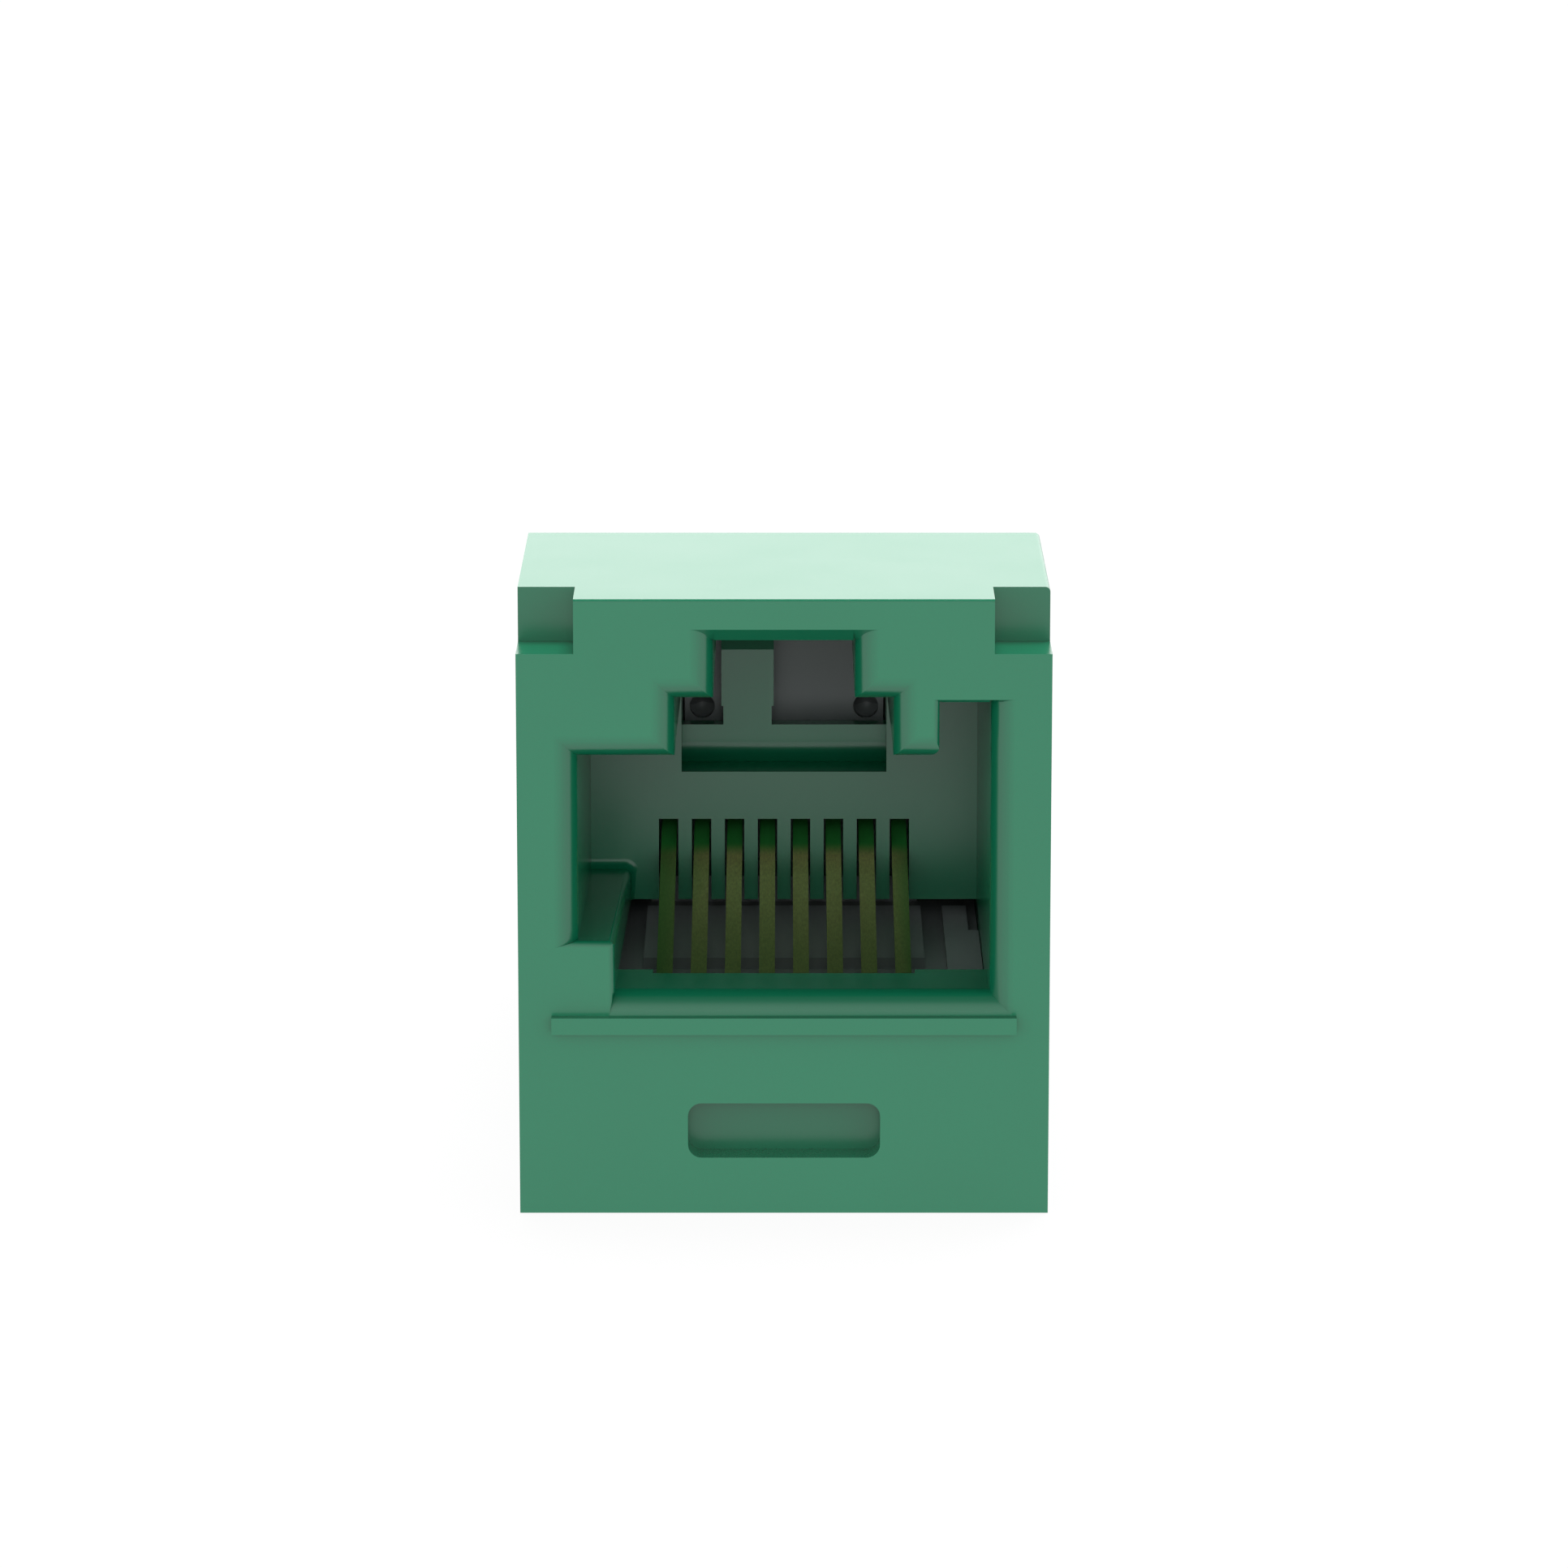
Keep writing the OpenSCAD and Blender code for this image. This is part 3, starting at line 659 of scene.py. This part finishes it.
def lean_key(piece, port, face):
    """Leans the key block, with its rolls and coves: its front edge up, its back end down and outwards."""
    left = port.key_side - port.key_width - port.rim_roll - SLACK
    cove_side = port.key_side + port.cove + SLACK
    floor = port.key_top - port.key_height - SLACK
    roll_foot = port.key_top - port.key_roll - SLACK
    cove_top = port.key_top + port.cove + SLACK
    back = face + port.key_depth - SLACK
    wall = face + port.depth + SLACK
    shift(
        piece,
        (left, face - SLACK, roll_foot),
        (port.key_side + SLACK, face + port.rim_roll + SLACK, port.key_top + SLACK),
        (0, 0, port.key_lift),
    )
    shift(
        piece,
        (port.key_side - port.key_roll - SLACK, back, floor),
        (cove_side, wall, cove_top),
        (port.key_spread, 0, 0),
    )
    shift(
        piece,
        (left, back, roll_foot),
        (cove_side + port.key_spread, wall, cove_top),
        (0, 0, -port.key_drop),
    )


def flatten_slot(piece, port, face):
    """Lays the roll over the key slot, with the ends of the rolls beside it, on a narrow sloping edge."""
    right = port.slot_side + port.slot_width + port.rim_roll + SLACK
    low = (port.slot_side - port.key_roll - SLACK, face - SLACK, port.slot_top - SLACK)
    high = (right, face + port.rim_roll + SLACK, port.slot_top + port.key_roll + SLACK)
    pick(piece, low, high)
    lay_on_slope(piece, face, port.slot_top + port.slot_edge, port.slot_fall, port.slot_reach)


def close_throat(piece, port, face):
    """Brings the ends of the rolls beside the throat down onto the slope of its bevel."""
    end = port.throat_top + port.throat_bevel
    foot = face + port.throat_bevel
    back = face + port.rim_roll + SLACK
    inside = port.throat_side - SLACK
    across = port.throat_side + port.rim_roll + SLACK
    pick(piece, (-inside, foot, end - SLACK), (inside, back, end + SLACK))
    bpy.ops.transform.resize(value=(1, 0, 1), center_override=(0, foot, end))
    pick(piece, (-across, face - SLACK, end - SLACK), (across, back, end + SLACK))
    lay_on_slope(piece, face, end, port.throat_bevel, port.throat_bevel)


def finish_piece(context, piece, node, material):
    """Smooths the piece's curves, gives it its finish, and puts it in the node's place on the body."""
    bpy.ops.object.mode_set(mode="OBJECT")
    bpy.ops.object.shade_smooth_by_angle(angle=SMOOTH_ANGLE)
    weighted = piece.modifiers.new("Even normals", "WEIGHTED_NORMAL")
    weighted.keep_sharp = True
    weighted.weight = 90
    bpy.ops.object.modifier_apply(modifier=weighted.name)
    piece.data.materials.clear()
    piece.data.materials.append(material)
    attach(piece, BODY)
    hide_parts(node)


def paint_housing_shade(piece, face):
    """Paints shade on the notches' floors, on the walls that look forward in the port, and on rolled edges,
    most where they turn halfway.
    """
    mesh = piece.data
    marks = mesh.attributes.new(PAINTED_SHADING, "FLOAT", "CORNER")
    for mark, loop, normal in zip(marks.data, mesh.loops, mesh.corner_normals):
        place = mesh.vertices[loop.vertex_index].co
        depth = place.y - face
        ahead = normal.vector.y
        notched = depth < NOTCH_DEPTH and abs(place.x) > NOTCH_SIDE and place.z < NOTCH_HEIGHT
        if notched and normal.vector.z > FACING:
            mark.value = NOTCH_SHADE
        elif ahead < -FACING and RECESS_START < depth < RECESS_END:
            mark.value = RECESS_SHADE
        else:
            mark.value = 2 * abs(ahead) * math.sqrt(max(0.0, 1 - ahead * ahead))


def paint_carrier_light(piece, level):
    """Paints light on the carrier: least on slopes, which stay in painted shade, more on flats, most at its
    pads' backs.
    """
    mesh = piece.data
    marks = mesh.attributes.new(PAINTED_SHADING, "FLOAT", "CORNER")
    for face in mesh.polygons:
        places = [mesh.vertices[i].co for i in face.vertices]
        front = min(place.y for place in places)
        back = max(place.y for place in places)
        raised = face.normal.z > FLAT and abs(places[0].z - level) < SLACK
        flat = max(abs(part) for part in face.normal) > FLAT
        lifted = face.normal.y < -LEANING and face.normal.z > 0
        painted = FLAT_LIGHT if flat else LIFTED_SLOPE_LIGHT if lifted else SLOPE_LIGHT
        for corner, place in zip(face.loop_indices, places):
            # Painted light on the pads grows from their fronts to their backs
            if raised:
                along = (place.y - front) / (back - front)
                painted = PAD_FRONT_LIGHT + (PAD_BACK_LIGHT - PAD_FRONT_LIGHT) * along
            marks.data[corner].value = painted


class JACK_OT_housing(Operator):
    """Dress the moulded housing with its keyed port"""

    bl_idname = "jack.housing"
    bl_label = "Housing"

    def execute(self, context):
        looks = context.scene.jack_finishes
        # Painted shade darkens the green to 0.71 of itself where the attribute is full
        plastic = moulded_plastic("green_plastic", looks.green, looks.gloss, ior=1.65, painted_tone=0.71)
        face = CAD_BOX[0].y + context.scene.jack_stage.face_setback
        piece = dressed_copy(context, "front_housing", "moulded_housing")
        for fit in (lean_key, flatten_slot, close_throat):
            fit(piece, context.scene.jack_port, face)
        weld()
        finish_piece(context, piece, "front_housing", plastic)
        paint_housing_shade(piece, face)
        return {"FINISHED"}


class JACK_OT_black_parts(Operator):
    """Dress the contact carrier, the terminal block and the wire cap"""

    bl_idname = "jack.black_parts"
    bl_label = "Carrier, block and cap"

    def execute(self, context):
        looks = context.scene.jack_finishes
        # Painted light lifts the carrier's grey up to seven times where the attribute is full
        grey = moulded_plastic("carrier_plastic", looks.grey, looks.gloss + 0.1, ior=1.45, painted_tone=7.0)
        black = moulded_plastic("black_plastic", looks.black, looks.gloss, ior=1.5)
        for node, name, plastic in (
            ("contact_carrier", "contact_sled", grey),
            ("idc_block", "terminal_block", black),
            ("wire_cap", "pressed_cap", black),
        ):
            piece = dressed_copy(context, node, name)
            finish_piece(context, piece, node, plastic)
            if plastic == grey:
                paint_carrier_light(piece, looks.pad_level)
        return {"FINISHED"}


class JACK_OT_contacts(Operator):
    """Dress the eight sprung contacts"""

    bl_idname = "jack.contacts"
    bl_label = "Contacts"

    def execute(self, context):
        looks = context.scene.jack_finishes
        gold = plated_metal(
            "gold_plate", looks.gold, roughness=0.34, stretch=(1, 4, 4), scratch=0.0008 * MM, looks=looks
        )
        for i, node in enumerate(CONTACTS, start=1):
            piece = dressed_copy(context, node, f"sprung_contact_{i}")
            finish_piece(context, piece, node, gold)
        return {"FINISHED"}


class JACK_OT_terminals(Operator):
    """Dress the circuit board and the wire terminals it carries"""

    bl_idname = "jack.terminals"
    bl_label = "Board and terminals"

    def execute(self, context):
        looks = context.scene.jack_finishes
        tin = plated_metal("tin_plate", looks.tin, roughness=0.42, stretch=(1, 20, 1), scratch=0.0004 * MM)
        for i, node in enumerate(TERMINALS, start=1):
            piece = dressed_copy(context, node, f"forked_terminal_{i}")
            finish_piece(context, piece, node, tin)
        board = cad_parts["circuit_board"]
        board.data.materials.clear()
        board.data.materials.append(laminate("board", looks.mask, roughness=0.4))
        return {"FINISHED"}


class JACK_OT_stage(Operator):
    """Set up the white floor, the soft light and the camera"""

    bl_idname = "jack.stage"
    bl_label = "Stage"

    def execute(self, context):
        stage = context.scene.jack_stage
        self.white_world(context, stage)
        self.white_floor()
        self.lamp("backdrop_lamp", place=(0.08, 0.45, 0.12), side=0.35, power=stage.backlight)
        top = self.lamp("top_lamp", place=(0.03, 0.1, 0.46), side=0.2, power=stage.toplight)
        fill = self.lamp("front_fill", place=(0, -0.45, 0.15), side=0.12, power=stage.fill)
        top.visible_glossy = False
        fill.visible_glossy = False
        self.camera(context, stage)
        context.scene.view_settings.view_transform = "Standard"
        return {"FINISHED"}

    def ray(self, finish, kind):
        """1 for rays of the kind and 0 for all others."""
        return finish.node("ShaderNodeLightPath", output=f"Is {kind} Ray")

    def mirrored(self, finish):
        """1 for rays that a surface mirrors or lets through."""
        return finish.larger(self.ray(finish, "Glossy"), self.ray(finish, "Transmission"))

    def white_world(self, context, stage):
        """White to the camera; for the jack, white walls all round that fade to a dim ceiling."""
        walls_end = 0.65
        ceiling_start = 0.95
        world = bpy.data.worlds.new("white_studio")
        context.scene.world = world
        finish = Finish(world)
        direction = finish.node("ShaderNodeTexCoord", output="Generated")
        rise = finish.node("ShaderNodeSeparateXYZ", None, {"Vector": direction}, output="Z")
        fade = {
            "Value": rise,
            "From Min": walls_end,
            "From Max": ceiling_start,
            "To Min": 1.0,
            "To Max": stage.room,
        }
        walls = finish.node("ShaderNodeMapRange", None, fade)
        camera = self.ray(finish, "Camera")
        strength = camera + (1 - camera) * walls
        sky = finish.node("ShaderNodeBackground", None, {"Color": (1, 1, 1, 1), "Strength": strength})
        finish.node("ShaderNodeOutputWorld", None, {"Surface": sky})

    def white_floor(self):
        """A floor that is white to the camera and in mirrors, glows less on the jack and keeps its shadow."""
        side = 4.0
        paint_grey = (0.85, 0.85, 0.85, 1)
        glow_share = 0.94
        dim_glow = 0.6
        bpy.ops.object.select_all(action="DESELECT")
        bpy.ops.mesh.primitive_plane_add(size=side)
        floor = bpy.context.object
        floor.name = "studio_floor"
        material = bpy.data.materials.new("studio_white")
        finish = Finish(material)
        paint = finish.node("ShaderNodeBsdfDiffuse", None, {"Color": paint_grey})
        seen = self.ray(finish, "Camera") + self.mirrored(finish)
        strength = dim_glow + (1 - dim_glow) * seen
        glow = finish.node("ShaderNodeEmission", None, {"Color": (1, 1, 1, 1), "Strength": strength})
        finish.surface(finish.node("ShaderNodeMixShader", None, {0: glow_share, 1: paint, 2: glow}))
        floor.data.materials.append(material)

    def lamp(self, name, place, side, power):
        """A square soft lamp that points at the middle of the jack."""
        middle = (CAD_BOX[0] + CAD_BOX[1]) / 2
        turn = (middle - Vector(place)).to_track_quat("-Z", "Y").to_euler()
        bpy.ops.object.light_add(type="AREA", location=place, rotation=turn)
        lamp = bpy.context.object
        lamp.name = name
        lamp.data.size = side
        lamp.data.energy = power
        lamp.visible_camera = False
        return lamp

    def camera(self, context, stage):
        """The camera at the photograph's viewing angle."""
        face = CAD_BOX[0].y + stage.face_setback
        bpy.ops.object.camera_add(
            location=(0, face - stage.distance, stage.height),
            rotation=(math.radians(90) - stage.pitch, 0, 0),
        )
        camera = context.object
        camera.name = "photo_camera"
        camera.data.lens = stage.lens
        camera.data.sensor_width = 36
        camera.data.clip_start = 1 * MM
        camera.data.clip_end = 10
        context.scene.camera = camera


class JACK_PT_dressing(Panel):
    """Lists the steps that dress the jack, and what they can change"""

    bl_idname = "JACK_PT_dressing"
    bl_label = "Keystone Jack"
    bl_space_type = "VIEW_3D"
    bl_region_type = "UI"
    bl_category = "Jack"

    def draw(self, context):
        layout = self.layout
        for operator in OPERATORS:
            layout.operator(operator.bl_idname)
        scene = context.scene
        for group in (scene.jack_finishes, scene.jack_port, scene.jack_stage):
            box = layout.box()
            for name in group.bl_rna.properties.keys():
                if name not in {"rna_type", "name"}:
                    box.prop(group, name)


OPERATORS = (
    JACK_OT_housing,
    JACK_OT_black_parts,
    JACK_OT_contacts,
    JACK_OT_terminals,
    JACK_OT_stage,
)
CLASSES = (JackFinishes, JackPort, JackStage, *OPERATORS, JACK_PT_dressing)


def register():
    for cls in CLASSES:
        bpy.utils.register_class(cls)
    bpy.types.Scene.jack_finishes = PointerProperty(type=JackFinishes)
    bpy.types.Scene.jack_port = PointerProperty(type=JackPort)
    bpy.types.Scene.jack_stage = PointerProperty(type=JackStage)


def unregister():
    del bpy.types.Scene.jack_stage
    del bpy.types.Scene.jack_port
    del bpy.types.Scene.jack_finishes
    for cls in reversed(CLASSES):
        bpy.utils.unregister_class(cls)


def main():
    """Dresses the jack piece by piece and sets the stage."""
    register()
    bpy.ops.jack.housing()
    bpy.ops.jack.black_parts()
    bpy.ops.jack.contacts()
    bpy.ops.jack.terminals()
    bpy.ops.jack.stage()


if __name__ == "__main__":
    main()
